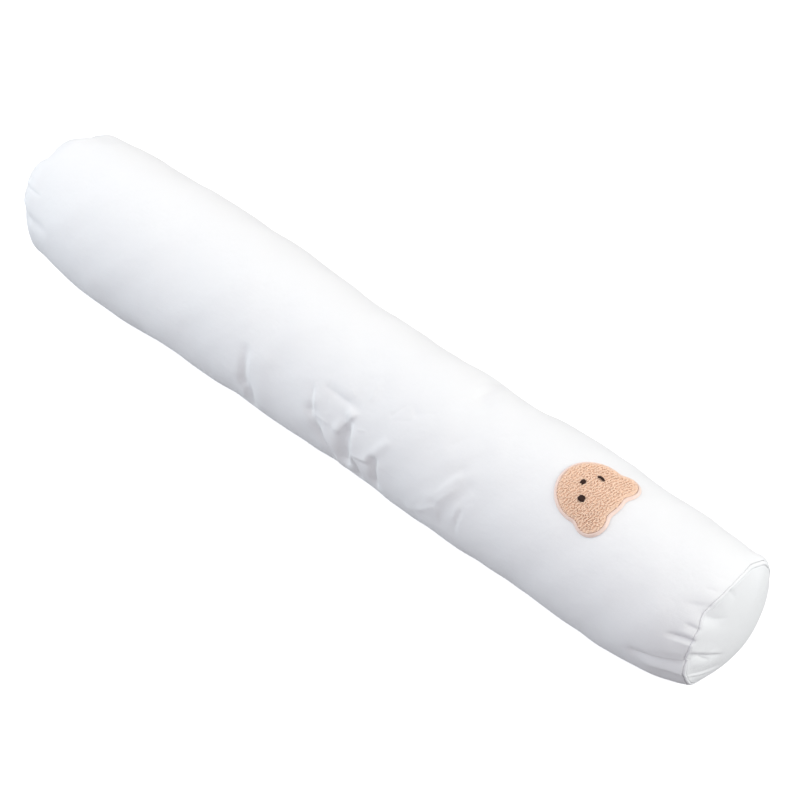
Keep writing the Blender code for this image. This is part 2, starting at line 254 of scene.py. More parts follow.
# Soft lumps of the filling: wavelength along X in mm, waves around the tube, phase in radians and
# height in mm
Lump = namedtuple("Lump", "length waves phase height")
LUMPS = (
    Lump(190, 2, 0.6, 0.45),
    Lump(120, -3, 2.1, 0.35),
    Lump(83, 4, 4.4, 0.28),
    Lump(61, -6, 1.2, 0.20),
    Lump(43, 7, 3.3, 0.14),
    Lump(31, -10, 5.2, 0.09),
)

# The closing seam along the back: its place around the tube along X
BackSeamRow = namedtuple("BackSeamRow", "x angle")
BACK_SEAM = (
    BackSeamRow(-415, 26), BackSeamRow(-200, 28), BackSeamRow(-100, 31), BackSeamRow(-76, 34.5),
    BackSeamRow(-52, 31), BackSeamRow(60, 28), BackSeamRow(220, 29), BackSeamRow(415, 27),
)
BACK_SEAM_HALF_WIDTH = 0.0011
BACK_SEAM_DEPTH = 0.0013
BACK_SEAM_LIP = 0.0008
BACK_SEAM_LAP = 6           # how far the lap runs out, in half widths of the groove

# How finely the skin is divided: where each run starts and ends, and its number of steps
Run = namedtuple("Run", "start end steps")
RING_RUNS = (
    Run(-415, -405, 12),
    Run(-405, -390, 7),
    Run(-390, -140, 52),
    Run(-140, -90, 26),
    Run(-90, -45, 16),
    Run(-45, 75, 150),
    Run(75, 180, 54),
    Run(180, 355, 42),
    Run(355, 415, 44),
)
ANGLE_RUNS = (
    Run(0, 22, 6),
    Run(22, 38, 20),
    Run(38, 70, 10),
    Run(70, 100, 18),
    Run(100, 140, 40),
    Run(140, 205, 100),
    Run(205, 216, 8),
    Run(216, 360, 38),
)


def places_of(runs):
    """The places that a table of runs gives, without the last end."""
    parts = [np.linspace(run.start, run.end, run.steps, endpoint=False) for run in runs]
    return np.concatenate(parts)


def column(rows, name, unit=1.0):
    """One named column of a table."""
    return np.array([getattr(row, name) for row in rows]) * unit


def smooth_step(t):
    """From 0 to 1 with no step in its slope."""
    t = np.clip(t, 0.0, 1.0)
    return t * t * (3 - 2 * t)


def curve_through(places, values, place):
    """Reads a smooth curve through a table's rows, with no step in its slope."""
    count = len(places)
    index = np.arange(count)
    low = np.maximum(index - 1, 0)
    high = np.minimum(index + 1, count - 1)
    slopes = (values[high] - values[low]) / (places[high] - places[low])
    row = np.clip(np.searchsorted(places, place, side="right") - 1, 0, count - 2)
    span = places[row + 1] - places[row]
    t = np.clip((place - places[row]) / span, 0.0, 1.0)
    rise = values[row + 1] - values[row]
    bend_low = slopes[row] * span - rise
    bend_high = rise - slopes[row + 1] * span
    return values[row] + rise * t + t * (1 - t) * ((1 - t) * bend_low + t * bend_high)


def section_value(name, station):
    """A section's radius or sway at a place along the tube."""
    return curve_through(column(SECTIONS, "x", MM), column(SECTIONS, name, MM), station)


def seam_pull(side, angle):
    """How far the end seam stands out at an angle."""
    rows = RIGHT_SEAM if side > 0 else LEFT_SEAM
    return curve_through(column(rows, "angle"), column(rows, "pull", MM), np.mod(angle, 360.0))


def seam_share(station):
    """From 0 away from the ends to 1 at an end seam."""
    return smooth_step((np.abs(station) - HALF_LENGTH + SEAM_REACH) / SEAM_REACH)


ARC_PER_DEGREE = math.radians(TUBE_RADIUS)


def fold_depth(x, angle):
    """The depth of all the solid's folds at places on the skin."""
    total = np.zeros(np.broadcast(x, angle).shape)
    for fold in FOLDS:
        start_x = fold.start_x * MM
        line_x = (fold.end_x - fold.start_x) * MM
        line_arc = (fold.end_angle - fold.start_angle) * ARC_PER_DEGREE
        turns = np.round(((fold.start_angle + fold.end_angle) / 2 - angle) / 360.0)
        off_x = x - start_x
        off_arc = (angle + turns * 360.0 - fold.start_angle) * ARC_PER_DEGREE
        along = np.clip((off_x * line_x + off_arc * line_arc) / (line_x ** 2 + line_arc ** 2), 0.0, 1.0)
        distance = np.hypot(off_x - line_x * along, off_arc - line_arc * along)
        total += fold.depth * MM * np.exp(-((distance / (fold.half_width * MM)) ** 2))
    return total


def crease_depth(first, second, start, end, row):
    """The depth of one crease at flat places (first, second), for a line from start to end."""
    line = (end[0] - start[0], end[1] - start[1])
    length = math.hypot(*line)
    along = ((first - start[0]) * line[0] + (second - start[1]) * line[1]) / length ** 2
    side = ((second - start[1]) * line[0] - (first - start[0]) * line[1]) / length
    side = side - row.bow * MM * 4 * along * (1 - along)
    strength = smooth_step(CREASE_FULLNESS * np.minimum(along / row.peak, (1 - along) / (1 - row.peak)))
    spread = side / (np.where(side > 0, row.right, row.left) * MM)
    trough = np.exp(CREASE_SOFTNESS - np.sqrt(spread ** 2 + CREASE_SOFTNESS ** 2))
    return strength * row.depth * trough * MM


def skin_crease_depth(x, angle):
    """The depth of all the fine creases at places on the skin."""
    total = np.zeros(np.broadcast(x, angle).shape)
    for row in CREASES:
        start = (row.start_x * MM, row.start_angle * ARC_PER_DEGREE)
        end = (row.end_x * MM, row.end_angle * ARC_PER_DEGREE)
        total += crease_depth(x, angle * ARC_PER_DEGREE, start, end, row)
    return total


def lump_height(x, angle):
    """The filling's own unevenness, which closes around the tube."""
    total = np.zeros(np.broadcast(x, angle).shape)
    for lump in LUMPS:
        turn = x / (lump.length * MM) * math.tau + np.radians(angle) * lump.waves + lump.phase
        total += lump.height * MM * np.cos(turn)
    return total


def pucker_height(station, angle):
    """The small uneven ripples at both end seams."""
    near = np.exp(-(HALF_LENGTH - np.abs(station)) / PUCKER_REACH)
    fine, coarse = (np.sin(np.radians(angle) * waves + phase)
                    for waves, phase in zip(PUCKER_WAVES, PUCKER_PHASES))
    return PUCKER_HEIGHT * near * fine * coarse


def back_seam_depth(x, angle):
    """The narrow groove of the closing seam, with the lap of cloth above it."""
    seam_angle = curve_through(column(BACK_SEAM, "x", MM), column(BACK_SEAM, "angle"), x)
    side = (angle - seam_angle) * ARC_PER_DEGREE / BACK_SEAM_HALF_WIDTH
    groove = BACK_SEAM_DEPTH * np.exp(-side ** 2)
    lap = BACK_SEAM_LIP * smooth_step(side) * np.exp(-np.maximum(side, 0.0) / BACK_SEAM_LAP)
    return groove - lap


def settle(z):
    """Keeps the skin above the ground, with a soft turn into its flat underside."""
    return (z + np.sqrt(z * z + SETTLED_EDGE ** 2)) / 2


def bare_skin(station, angle, lift, detail):
    """A place on the skin before the part is centred. Detail is 0 for the solid's own form."""
    station, angle = np.broadcast_arrays(np.asarray(station, float), np.asarray(angle, float))
    side = np.where(station < 0, -1.0, 1.0)
    pull = np.where(station < 0, seam_pull(-1, angle), seam_pull(1, angle))
    x = station + side * pull * seam_share(station)
    radius = section_value("radius", station) - fold_depth(x, angle) + lift
    if detail:
        troughs = skin_crease_depth(x, angle) + back_seam_depth(x, angle)
        radius = radius + (lump_height(x, angle) + pucker_height(station, angle) - troughs) * detail
    turn = np.radians(angle)
    y = section_value("sway", station) + radius * np.cos(turn)
    z = AXIS_HEIGHT + radius * np.sin(turn)
    return np.stack([x, y, settle(z)], axis=-1)


def side_shift():
    """How far the part stands to the side of its own middle line, so that its box is centred."""
    skin = bare_skin(places_of(RING_RUNS)[:, None] * MM, places_of(ANGLE_RUNS)[None, :], 0.0, 0.0)
    return -(skin[..., 1].min() + skin[..., 1].max()) / 2


SIDE_SHIFT = side_shift()


def skin_points(station, angle, lift=0.0, detail=1.0):
    """Places on the skin, or at a lift over it, in the frame's own place."""
    return bare_skin(station, angle, lift, detail) + np.array([0.0, SIDE_SHIFT, 0.0])


def end_points(side, angle, share, inset, detail=1.0):
    """Places in an end: share is 0 at its middle and 1 at the seam, and inset is measured inward."""
    share = np.asarray(share, float)
    rim = skin_points(side * HALF_LENGTH, angle, detail=0.0)
    if detail:
        creased = skin_points(side * HALF_LENGTH, angle, detail=detail) - rim
        rim = rim + creased * smooth_step((share - RIM_SHARE) / (1 - RIM_SHARE))[..., None]
    sway = section_value("sway", side * HALF_LENGTH) + SIDE_SHIFT
    middle = np.array([0.0, float(sway), AXIS_HEIGHT])
    points = middle + (rim - middle) * share[..., None]
    slack = rim[..., 0] - side * HALF_LENGTH
    crown = PANEL_CROWN * (1 - share ** 2)
    points[..., 0] = side * (HALF_LENGTH + crown - inset) + slack * share ** 4
    return points


# Meshes


def show(name, mesh, material, node_names):
    """Puts a mesh in the scene as a piece of the part."""
    mesh.materials.append(material)
    piece = bpy.data.objects.new(name, mesh)
    bpy.context.scene.collection.objects.link(piece)
    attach(piece, "root")
    if node_names:
        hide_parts(*node_names)
    return piece


def closed_rings(rings):
    """Rings with their first place again at their end."""
    return np.concatenate([rings, rings[:, :1]], axis=1)


SHARP_EDGE, ROUND_EDGE = 50.0, 80.0     # two faces that meet at more than this shade apart, in degrees


def ring_mesh(name, first, rings, last, chart, shading_angle=SHARP_EDGE):
    """A closed mesh from a point, a row of rings and a point.

    chart holds each ring place on the flat cloth, with one more column than the rings have, so that
    the weave runs on across the line where the rings close.
    """
    rows, count = rings.shape[:2]
    verts = np.concatenate([[first], rings.reshape(-1, 3), [last]])
    index = np.arange(rows * count).reshape(rows, count) + 1
    after = np.roll(index, -1, axis=1)
    quads = np.stack([index[:-1], index[1:], after[1:], after[:-1]], axis=-1).reshape(-1, 4)
    start_fan = np.stack([np.zeros(count, int), index[0], after[0]], axis=-1)
    end_fan = np.stack([np.full(count, rows * count + 1), after[-1], index[-1]], axis=-1)
    mesh = bpy.data.meshes.new(name)
    mesh.from_pydata(verts.tolist(), [], quads.tolist() + start_fan.tolist() + end_fan.tolist())
    here, there = chart[:, :-1], chart[:, 1:]
    quad_chart = np.stack([here[:-1], here[1:], there[1:], there[:-1]], axis=2).reshape(-1, 2)
    start_chart = np.stack([(here[0] + there[0]) / 2, here[0], there[0]], axis=1).reshape(-1, 2)
    end_chart = np.stack([(here[-1] + there[-1]) / 2, there[-1], here[-1]], axis=1).reshape(-1, 2)
    layer = mesh.uv_layers.new(name="cloth")
    layer.uv.foreach_set("vector", np.concatenate([quad_chart, start_chart, end_chart]).ravel())
    mesh.shade_smooth()
    mesh.set_sharp_from_angle(angle=math.radians(shading_angle))
    mesh.validate()
    return mesh


def strand_mesh(name, paths, across, radii, sides):
    """Round strands along many paths of as many places each, closed at both ends.

    paths is strands x places x 3, across is a unit vector for each strand at right angles to its path,
    and radii gives the strand's radius at each place of a path.
    """
    strands, places = paths.shape[:2]
    tangent = np.gradient(paths, axis=1)
    tangent /= np.linalg.norm(tangent, axis=-1, keepdims=True)
    out = np.cross(tangent, across[:, None, :])
    out /= np.linalg.norm(out, axis=-1, keepdims=True)
    side = np.cross(out, tangent)
    turn = np.arange(sides) / sides * math.tau
    ring = side[:, :, None, :] * np.cos(turn)[:, None] + out[:, :, None, :] * np.sin(turn)[:, None]
    verts = paths[:, :, None, :] + ring * radii[None, :, None, None]
    index = np.arange(strands * places * sides).reshape(strands, places, sides)
    after = np.roll(index, -1, axis=2)
    quads = np.stack([index[:, :-1], index[:, 1:], after[:, 1:], after[:, :-1]], axis=-1).reshape(-1, 4)
    caps = np.concatenate([index[:, 0], index[:, -1, ::-1]])
    mesh = bpy.data.meshes.new(name)
    mesh.from_pydata(verts.reshape(-1, 3).tolist(), [], quads.tolist() + caps.tolist())
    step = np.linalg.norm(np.diff(paths, axis=1), axis=-1).mean()
    along = np.broadcast_to((np.arange(places) * step)[None, :, None], index.shape)
    around = np.broadcast_to((np.arange(sides) / sides)[None, None, :], index.shape)
    chart = np.stack([along, around], axis=-1).reshape(-1, 2)
    corners = np.zeros(len(mesh.loops), int)
    mesh.loops.foreach_get("vertex_index", corners)
    layer = mesh.uv_layers.new(name="cloth")
    layer.uv.foreach_set("vector", chart[corners].ravel())
    mesh.shade_smooth()
    mesh.validate()
    return mesh


# Materials. A noise's grain is one over its scale, in metres, and a bump's height is in metres


CLOTH_SPECULAR = 0.25
SHEEN_ROUGHNESS = 0.5


def start_material(name, roughness, sheen):
    """A material with its constant values set on the shader."""
    material = bpy.data.materials.new(name)
    material.use_nodes = True
    shader = material.node_tree.nodes["Principled BSDF"]
    shader.inputs["Roughness"].default_value = roughness
    shader.inputs["Specular IOR Level"].default_value = CLOTH_SPECULAR
    shader.inputs["Sheen Weight"].default_value = sheen
    shader.inputs["Sheen Roughness"].default_value = SHEEN_ROUGHNESS
    return material, material.node_tree, shader


def add_math(tree, operation, first, second=None):
    """A math node on sockets or numbers."""
    node = tree.nodes.new("ShaderNodeMath")
    node.operation = operation
    for slot, value in zip(node.inputs, (first, second)):
        if isinstance(value, (int, float)):
            slot.default_value = value
        elif value is not None:
            tree.links.new(value, slot)
    return node.outputs[0]


def add_noise(tree, coordinates, scale, detail=2.0, stretch=(1.0, 1.0, 1.0)):
    """A noise whose grain is 1/scale in size, and longer along an axis whose stretch is small."""
    mapping = tree.nodes.new("ShaderNodeMapping")
    mapping.inputs["Scale"].default_value = stretch
    tree.links.new(coordinates, mapping.inputs["Vector"])
    noise = tree.nodes.new("ShaderNodeTexNoise")
    noise.inputs["Scale"].default_value = scale
    noise.inputs["Detail"].default_value = detail
    tree.links.new(mapping.outputs["Vector"], noise.inputs["Vector"])
    return noise.outputs["Fac"]


def add_bump(tree, height, distance, normal=None):
    """A bump of a real height, on top of another one."""
    bump = tree.nodes.new("ShaderNodeBump")
    bump.inputs["Distance"].default_value = distance
    tree.links.new(height, bump.inputs["Height"])
    if normal is not None:
        tree.links.new(normal, bump.inputs["Normal"])
    return bump.outputs["Normal"]


def add_tint(tree, factor, low, high):
    """A colour between two, by a factor."""
    mix = tree.nodes.new("ShaderNodeMix")
    mix.data_type = "RGBA"
    mix.inputs["A"].default_value = (*low, 1.0)
    mix.inputs["B"].default_value = (*high, 1.0)
    tree.links.new(factor, mix.inputs["Factor"])
    return mix.outputs["Result"]


def scaled(colour, share):
    """A colour made darker."""
    return tuple(channel * share for channel in colour)


def cloth_place(tree):
    """The place on the flat cloth, in metres."""
    node = tree.nodes.new("ShaderNodeUVMap")
    node.uv_map = "cloth"
    return node.outputs["UV"]


def object_place(tree):
    """The place in the part's frame, in metres."""
    return tree.nodes.new("ShaderNodeTexCoord").outputs["Object"]


COTTON_ROUGHNESS, COTTON_SHEEN = 0.72, 0.25
COTTON_DARK = 0.97          # of a slub's hollow, as a share of the colour
SLUB_SCALE, SLUB_HEIGHT = 900.0, 0.00006
SLUB_STRETCH = 0.08         # along its thread
PUFF_SCALE, PUFF_HEIGHT = 70.0, 0.0006
WEAVE_HEIGHT = 0.00002


def cotton_material(name, colour, thread_pitch):
    """Smooth plain-woven cotton: fine threads over and under, faint slubs and a soft unevenness."""
    material, tree, shader = start_material(name, COTTON_ROUGHNESS, COTTON_SHEEN)
    place = cloth_place(tree)
    split = tree.nodes.new("ShaderNodeSeparateXYZ")
    tree.links.new(place, split.inputs["Vector"])
    turns = math.tau / (2 * thread_pitch)
    warp = add_math(tree, "SINE", add_math(tree, "MULTIPLY", split.outputs["X"], turns))
    weft = add_math(tree, "SINE", add_math(tree, "MULTIPLY", split.outputs["Y"], turns))
    weave = add_math(tree, "MULTIPLY", warp, weft)
    slub = add_noise(tree, place, SLUB_SCALE, stretch=(1.0, SLUB_STRETCH, 1.0))
    cross_slub = add_noise(tree, place, SLUB_SCALE, stretch=(SLUB_STRETCH, 1.0, 1.0))
    slubs = add_math(tree, "ADD", slub, cross_slub)
    puff = add_noise(tree, object_place(tree), PUFF_SCALE, detail=3.0)
    normal = add_bump(tree, puff, PUFF_HEIGHT)
    normal = add_bump(tree, slubs, SLUB_HEIGHT, normal)
    normal = add_bump(tree, weave, WEAVE_HEIGHT, normal)
    tree.links.new(normal, shader.inputs["Normal"])
    tint = add_tint(tree, add_math(tree, "MULTIPLY", slubs, 0.5), scaled(colour, COTTON_DARK), colour)
    tree.links.new(tint, shader.inputs["Base Color"])
    return material


FELT_ROUGHNESS, FELT_SHEEN = 0.9, 0.4
FELT_DARK = 0.88            # of its flecks, as a share of the colour
FIBRE_SCALE, FIBRE_HEIGHT = 1800.0, 0.0003
MOTTLE_SCALE, MOTTLE_HEIGHT = 260.0, 0.0004
GROUND_SHADE = 0.95         # of the terry's ground, as a share of the loops' colour


def felt_material(name, colour):
    """Short pressed fibres with a little darker and lighter fleck."""
    material, tree, shader = start_material(name, FELT_ROUGHNESS, FELT_SHEEN)
    place = object_place(tree)
    fibre = add_noise(tree, place, FIBRE_SCALE, detail=3.0)
    mottle = add_noise(tree, place, MOTTLE_SCALE)
    normal = add_bump(tree, mottle, MOTTLE_HEIGHT)
    normal = add_bump(tree, fibre, FIBRE_HEIGHT, normal)
    tree.links.new(normal, shader.inputs["Normal"])
    tint = add_tint(tree, mottle, scaled(colour, FELT_DARK), colour)
    tree.links.new(tint, shader.inputs["Base Color"])
    return material


YARN_SHEEN = 0.3
PLIES = 2
PLY_HEIGHT = 0.00008
YARN_TONE_SCALE = 420.0
FUZZ_SCALE, FUZZ_HEIGHT = 3000.0, 0.0001

# What is spun: the darkest share of its colour, how far one turn of its plies takes, and its gloss
Yarn = namedtuple("Yarn", "dark_share ply_pitch roughness sheen")
TERRY_YARN = Yarn(0.94, 0.0012, 0.9, YARN_SHEEN)
SEWING_THREAD = Yarn(0.92, 0.0006, 0.6, YARN_SHEEN)
SATIN_THREAD = Yarn(0.7, 0.0006, 0.6, 0.0)


def yarn_material(name, colour, yarn):
    """Twisted yarn: its plies turn around it, and its tone varies from loop to loop."""
    material, tree, shader = start_material(name, yarn.roughness, yarn.sheen)
    split = tree.nodes.new("ShaderNodeSeparateXYZ")
    tree.links.new(cloth_place(tree), split.inputs["Vector"])
    along = add_math(tree, "MULTIPLY", split.outputs["X"], math.tau / yarn.ply_pitch)
    around = add_math(tree, "MULTIPLY", split.outputs["Y"], math.tau * PLIES)
    ply = add_math(tree, "SINE", add_math(tree, "ADD", along, around))
    tone = add_noise(tree, object_place(tree), YARN_TONE_SCALE)
    fuzz = add_noise(tree, object_place(tree), FUZZ_SCALE)
    normal = add_bump(tree, ply, PLY_HEIGHT)
    normal = add_bump(tree, fuzz, FUZZ_HEIGHT, normal)
    tree.links.new(normal, shader.inputs["Normal"])
    tint = add_tint(tree, tone, scaled(colour, yarn.dark_share), colour)
    tree.links.new(tint, shader.inputs["Base Color"])
    return material


# The filled tube


# The tube's cloth under a panel, from the middle out to the seam, where it rolls over: the share of the
# end's radius, and how far it lies inside the panel's outer face, in mm
UNDER_PANEL = (PANEL_THICKNESS + GAP) / MM
EndRing = namedtuple("EndRing", "share inset")
END_RINGS = (
    EndRing(0.5, UNDER_PANEL),
    EndRing(0.9, UNDER_PANEL),
    EndRing(0.975, UNDER_PANEL),
    EndRing(0.988, 3.0),
    EndRing(1.0, 1.3),
)


def end_rings(side, angles):
    """The rings of the tube's cloth in one end, from its middle out."""
    return np.concatenate([end_points(side, angles, row.share, row.inset * MM) for row in END_RINGS])


def make_tube_piece(settings):
    """The tube's skin from seam to seam, rolled in at both seams, and its ends under the panels."""
    angles = places_of(ANGLE_RUNS)
    stations = places_of(RING_RUNS)[1:] * MM
    left, right = (end_rings(side, angles[None, :]) for side in (-1, 1))
    rings = np.concatenate([left, skin_points(stations[:, None], angles[None, :]), right[::-1]])
    first, last = (end_points(side, 0.0, 0.0, UNDER_PANEL * MM) for side in (-1, 1))
    closed = np.append(angles, 360.0) * ARC_PER_DEGREE
    along = rings[:, :1, 0]
    chart = np.stack(np.broadcast_arrays(along, closed[None, :]), axis=-1)
    mesh = ring_mesh("pillow_tube", first, rings, last, chart, ROUND_EDGE)
    cotton = cotton_material("tube_cotton", settings.cotton_colour, settings.thread_pitch)
    piece = show("pillow_tube", mesh, cotton, ["bolster_tube"])


# The end panels


# The welt is narrower where the panel is slack: the shares of its width and of its groove's depth
WeltRow = namedtuple("WeltRow", "angle width groove")
WELT = (
    WeltRow(0, 1, 1.5), WeltRow(60, 0.9, 0.8), WeltRow(118, 0.9, 0.8), WeltRow(130, 0.6, 0.6),
    WeltRow(165, 0.6, 0.6), WeltRow(178, 0.75, 0.3), WeltRow(205, 0.75, 0.3), WeltRow(235, 1, 1.5),
    WeltRow(360, 1, 1.5),
)

# The panel's edge, with the welt's groove and its crest: the distance from the seam and the rise, in mm
PanelRow = namedtuple("PanelRow", "from_seam rise")
PANEL_EDGE = (
    PanelRow(9, 0), PanelRow(7, 0.1), PanelRow(5.6, 0.25), PanelRow(5, 0.2), PanelRow(4.6, -0.2),
    PanelRow(4.2, -1.2), PanelRow(3.8, -0.2), PanelRow(3.4, 0.35), PanelRow(2.9, 0.6), PanelRow(2, 0.7),
    PanelRow(1.2, 0.55), PanelRow(0.7, 0.25), PanelRow(0.4, -0.3), PanelRow(0.25, -0.9),
)
PANEL_RINGS = 60            # inside the welt
PANEL_FIRST_RING = 0.03     # its share of the panel's radius
PANEL_CREASE_FADE = 0.06    # the share of the radius at the seam over which the panel's creases fade out
PANEL_UNDERSIDE = (0.99, 0.9, 0.5)      # its rings, as shares of the radius


def welt_value(name, angle):
    """A share of the welt's width or groove at an angle."""
    return curve_through(column(WELT, "angle"), column(WELT, name), angle)


def panel_crease_depth(side, y, z):
    """The depth of a panel's own creases at places across and above its middle."""
    rows = RIGHT_PANEL_CREASES if side > 0 else LEFT_PANEL_CREASES
    total = np.zeros(y.shape)
    for row in rows:
        start = (row.start_y * MM, row.start_down * MM)
        end = (row.end_y * MM, row.end_down * MM)
        total += crease_depth(y, -z, start, end, row)
    return total


def make_panel_piece(name, node, side, cotton):
    """A round panel: crowned by the filling, creased, with its turned edge stitched down as a welt."""
    angles = places_of(ANGLE_RUNS)
    from_seam = column(PANEL_EDGE, "from_seam", MM)[:, None] * welt_value("width", angles)
    edge_shares = 1 - from_seam / TUBE_RADIUS
    edge_rises = column(PANEL_EDGE, "rise", MM)[:, None]
    edge_rises = np.where(edge_rises < 0, edge_rises * welt_value("groove", angles), edge_rises)
    flat_shares = np.linspace(PANEL_FIRST_RING, 1.0, PANEL_RINGS, endpoint=False)[:, None]
    flat_shares = flat_shares * edge_shares[:1]
    shares = np.concatenate([flat_shares, edge_shares])
    rises = np.concatenate([np.zeros_like(flat_shares), edge_rises])
    outer = end_points(side, angles[None, :], shares, 0.0)
    y = outer[..., 1] - SIDE_SHIFT
    z = outer[..., 2] - AXIS_HEIGHT
    fade = smooth_step((1 - shares) / PANEL_CREASE_FADE)
    outer[..., 0] += side * (rises - panel_crease_depth(side, y, z) * fade)
    under_shares = np.array(PANEL_UNDERSIDE)[:, None]
    under = end_points(side, angles[None, :], under_shares, PANEL_THICKNESS)
    rings = np.concatenate([outer, under])
    first, last = (end_points(side, 0.0, 0.0, inset) for inset in (0.0, PANEL_THICKNESS))
    chart = closed_rings(rings[..., 1:])
    if side > 0:
        rings = rings[:, ::-1]
        chart = chart[:, ::-1]
    piece = show(name, ring_mesh(name, first, rings, last, chart), cotton, [node])


# The sewn-on head


def ellipse_reach(direction, half_width, half_height):
    """The distance from an ellipse's middle to its edge in a direction."""
    return 1.0 / np.hypot(np.cos(direction) / half_width, np.sin(direction) / half_height)


def head_distance(across, up):
    """How far a place is outside the head's outline, whose corners at the ears are softly filled."""
    oval = ellipse_reach(np.arctan2(up, across), HEAD_HALF_WIDTH, HEAD_HALF_HEIGHT)
    outside = np.hypot(across, up) - oval
    for side in (-1, 1):
        off_ear = np.hypot(across - side * EAR_ACROSS, up - EAR_UP) - EAR_RADIUS
        fill = np.maximum(CORNER_FILL - np.abs(outside - off_ear), 0.0)
        outside = np.minimum(outside, off_ear) - fill ** 2 / (4 * CORNER_FILL)
    return outside


HALVINGS = 26               # of the span in which an outline is looked for


def head_reach(direction, grow):
    """The distance from the head's middle to its outline, grown by a width."""
    low = np.zeros(np.shape(direction))
    high = low + 2 * (EAR_ACROSS + EAR_UP)
    for _ in range(HALVINGS):
        middle = (low + high) / 2
        inside = head_distance(np.cos(direction) * middle, np.sin(direction) * middle) < grow
        low = np.where(inside, middle, low)
        high = np.where(inside, high, middle)
    return low


def lay(across, up, lift):
    """Places on the tube, by their distances from the head's middle."""
    angle = HEAD_ANGLE + np.degrees(np.asarray(across) / TUBE_RADIUS)
    return skin_points(HEAD_X + np.asarray(up), angle, lift)


def flat_area(reaches):
    """The area inside an outline, by its distances from the middle in even directions."""
    return float(np.mean(reaches ** 2) / 2 * math.tau)


# The layers' edges: the place across the head's outline and the lift over the skin, in mm
ProfileRow = namedtuple("ProfileRow", "grow lift")
FELT_PROFILE = (
    ProfileRow(-3, 1.2), ProfileRow(-1, 1.2), ProfileRow(-0.3, 1.2), ProfileRow(0.05, 1.7),
    ProfileRow(0.35, 2.2), ProfileRow(0.8, 2.45), ProfileRow(1.3, 2.4), ProfileRow(1.9, 2.05),
    ProfileRow(2.5, 1.5), ProfileRow(3.1, 0.95), ProfileRow(3.4, 0.45),
)
GROUND_PROFILE = (
    ProfileRow(-3, 2.6), ProfileRow(-1.2, 2.6), ProfileRow(-0.7, 2.45), ProfileRow(-0.4, 2.1),
    ProfileRow(-0.3, 1.7),
)
FELT_UNDERSIDE = 0.0004     # its lift over the skin
GROUND_UNDERSIDE = 0.0016
LAYER_TOP = (0.3, 0.6)      # a layer's inner rings, as shares of its first edge ring
LAYER_UNDERSIDE = (0.98, 0.6, 0.3)      # and of its outline


def make_layer(name, profile, low, directions, material, node_names):
    """A flat layer of the head, whose rounded edge follows a profile."""
    edge_rows = [(head_reach(directions, row.grow * MM), row.lift * MM) for row in profile]
    top_reach, top_lift = edge_rows[0]
    outline = edge_rows[-1][0]
    rows = [(top_reach * share, top_lift) for share in LAYER_TOP] + edge_rows
    rows += [(outline * share, low) for share in LAYER_UNDERSIDE]
    reaches = np.stack([reach for reach, lift in rows])
    lifts = np.array([lift for reach, lift in rows])[:, None]
    across, up = np.cos(directions) * reaches, np.sin(directions) * reaches
    chart = closed_rings(np.stack([across, up], axis=-1))
    first, last = lay(0.0, 0.0, top_lift), lay(0.0, 0.0, low)
    mesh = ring_mesh(name, first, lay(across, up, lifts), last, chart, ROUND_EDGE)
    piece = show(name, mesh, material, node_names)
    flat_size = np.ptp(np.cos(directions) * outline), np.ptp(np.sin(directions) * outline)
    return piece, flat_size, flat_area(outline)


FRAME_STEP = 0.0005         # between the places that a direction on the skin is read from


def skin_frame(across, up, lift):
    """Unit vectors on the skin at places of the head: around the tube, along it and out of it."""
    here = lay(across, up, lift)
    around = lay(across + FRAME_STEP, up, lift) - here
    along = lay(across, up + FRAME_STEP, lift) - here
    around /= np.linalg.norm(around, axis=-1, keepdims=True)
    along /= np.linalg.norm(along, axis=-1, keepdims=True)
    out = np.cross(along, around)
    return around, along, out / np.linalg.norm(out, axis=-1, keepdims=True)


LOOP_SEED = 11
LOOP_OVER_SPREAD = 0.17     # how unevenly a loop stands over its row, as a share of the row pitch
LOOP_TURN_SPREAD = math.radians(24)
LOOP_LENGTHS = (0.8, 1.15)  # the least and the most, as shares of the loop length
LOOP_HEIGHTS = (0.75, 1.0)
LOOP_LEAN_SPREAD = 0.35     # as a share of a loop's height
LOW_LOOP = 0.35             # a loop's height at the pile's edge, as a share of one inside
LOOP_EDGE = 0.0003          # how far inside the outline a loop's middle stays
FEATURE_ROOM = 1.05         # what a feature keeps free of loops, as a share of its half sizes
LOOP_THICKNESS = np.array([0.85, 1.0, 1.08, 1.1, 1.08, 1.0, 0.85])      # along the loop's arch
LOOP_SIDES = 6


